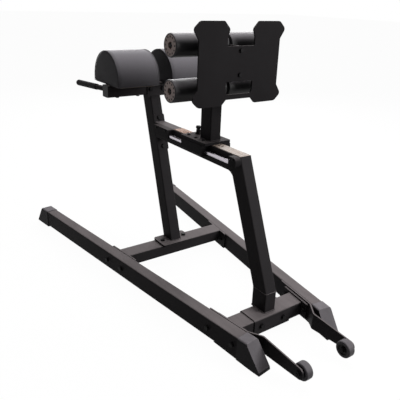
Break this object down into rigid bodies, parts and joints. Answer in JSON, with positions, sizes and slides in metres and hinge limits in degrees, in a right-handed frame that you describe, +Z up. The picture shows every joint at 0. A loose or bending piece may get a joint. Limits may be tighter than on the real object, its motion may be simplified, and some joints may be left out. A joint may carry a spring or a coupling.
{
  "type": "glute ham developer",
  "caption": "Glute ham developer: splayed floor rails carry a leaning mast, a sliding carriage with ankle rollers and a foot plate, and split round hip pads with handles.",
  "frame": {"origin": "on the floor, at the centre of the machine's footprint", "axes": "+X towards the hip pads and handles, +Y to the machine's left, +Z up; metres"},
  "size_m": [1.6652, 0.8098, 1.078],
  "materials": {
    "frame_black": "matte black powder coat",
    "carriage_black": "satin black powder coat",
    "pad_vinyl": "black vinyl with a fine grain",
    "roller_foam": "smooth black skinned foam",
    "boot_rubber": "moulded black rubber",
    "grip_rubber": "soft black rubber sleeve",
    "tyre_rubber": "solid black rubber tyre",
    "plastic_black": "moulded black plastic",
    "roller_core": "reddish brown moulded plastic",
    "rod_steel": "ground and plated steel",
    "axle_steel": "bright drawn steel",
    "bolt_black": "black oxide steel",
    "scale_strip": "tan wear strip",
    "board_wood": "birch plywood"
  },
  "bodies": {
    "frame": {"left_rail": "frame_black", "right_rail": "frame_black", "left_front_boot": "boot_rubber", "right_front_boot": "boot_rubber", "left_rear_boot": "boot_rubber", "right_rear_boot": "boot_rubber", "front_foot_pads": "boot_rubber", "front_beam": "frame_black", "rear_beam": "frame_black", "beam_flanges": "frame_black", "rail_bolts": "bolt_black", "left_wheel_bracket": "frame_black", "right_wheel_bracket": "frame_black", "wheel_axle_bolts": "bolt_black", "rear_saddle": "frame_black", "rear_upright": "frame_black", "slide_tube": "frame_black", "scale_strip": "scale_strip", "front_upright": "frame_black", "frame_bolts": "bolt_black", "guide_rod": "rod_steel", "rear_rod_block": "carriage_black", "front_rod_block": "carriage_black", "rod_block_screws": "bolt_black", "pad_bar": "frame_black", "pad_bar_caps": "plastic_black", "pad_bar_bracket": "frame_black", "left_hip_pad": "pad_vinyl", "right_hip_pad": "pad_vinyl", "pad_boards": "board_wood", "pad_bolts": "bolt_black", "handles": "frame_black", "handle_grips": "grip_rubber"},
    "carriage": {"carriage_plate": "carriage_black", "side_blocks": "carriage_black", "guide_bushes": "plastic_black", "carriage_screws": "bolt_black", "post": "carriage_black", "post_cap": "plastic_black", "pull_pin_barrel": "carriage_black", "pull_pin_spring": "rod_steel", "roller_bracket": "carriage_black", "roller_axles": "axle_steel", "axle_end_bolts": "bolt_black", "foot_plate": "carriage_black", "foot_plate_bolts": "bolt_black"},
    "pull_pin": {"pull_pin": "rod_steel", "pull_pin_knob": "plastic_black"},
    "left_wheel": {"left_wheel_hub": "plastic_black", "left_wheel_tyre": "tyre_rubber"},
    "right_wheel": {"right_wheel_hub": "plastic_black", "right_wheel_tyre": "tyre_rubber"},
    "upper_left_roller": {"upper_left_roller_core": "roller_core", "upper_left_roller": "roller_foam"},
    "upper_right_roller": {"upper_right_roller_core": "roller_core", "upper_right_roller": "roller_foam"},
    "lower_left_roller": {"lower_left_roller_core": "roller_core", "lower_left_roller": "roller_foam"},
    "lower_right_roller": {"lower_right_roller_core": "roller_core", "lower_right_roller": "roller_foam"}
  },
  "joints": [
    {"name": "carriage_slide", "type": "slide", "parent": "frame", "child": "carriage", "axis": [1, 0, 0], "range_m": [-0.14, 0.1]},
    {"name": "pull_pin_lift", "type": "slide", "parent": "carriage", "child": "pull_pin", "axis": [0, 0, 1], "range_m": [0, 0.009], "stiffness_N_per_m": 400, "springref_m": -0.008, "deforming": ["pull_pin_spring"]},
    {"name": "left_wheel_spin", "type": "hinge", "parent": "frame", "child": "left_wheel", "pos_m": [-0.80282, 0.1, 0.054], "axis": [0, 1, 0], "continuous": true},
    {"name": "right_wheel_spin", "type": "hinge", "parent": "frame", "child": "right_wheel", "pos_m": [-0.80282, -0.1, 0.054], "axis": [0, 1, 0], "continuous": true},
    {"name": "upper_left_roller_spin", "type": "hinge", "parent": "carriage", "child": "upper_left_roller", "pos_m": [-0.18362, 0.12, 0.9946], "axis": [0, 1, 0], "continuous": true},
    {"name": "upper_right_roller_spin", "type": "hinge", "parent": "carriage", "child": "upper_right_roller", "pos_m": [-0.18362, -0.12, 0.9946], "axis": [0, 1, 0], "continuous": true},
    {"name": "lower_left_roller_spin", "type": "hinge", "parent": "carriage", "child": "lower_left_roller", "pos_m": [-0.18362, 0.12, 0.8422], "axis": [0, 1, 0], "continuous": true},
    {"name": "lower_right_roller_spin", "type": "hinge", "parent": "carriage", "child": "lower_right_roller", "pos_m": [-0.18362, -0.12, 0.8422], "axis": [0, 1, 0], "continuous": true}
  ]
}
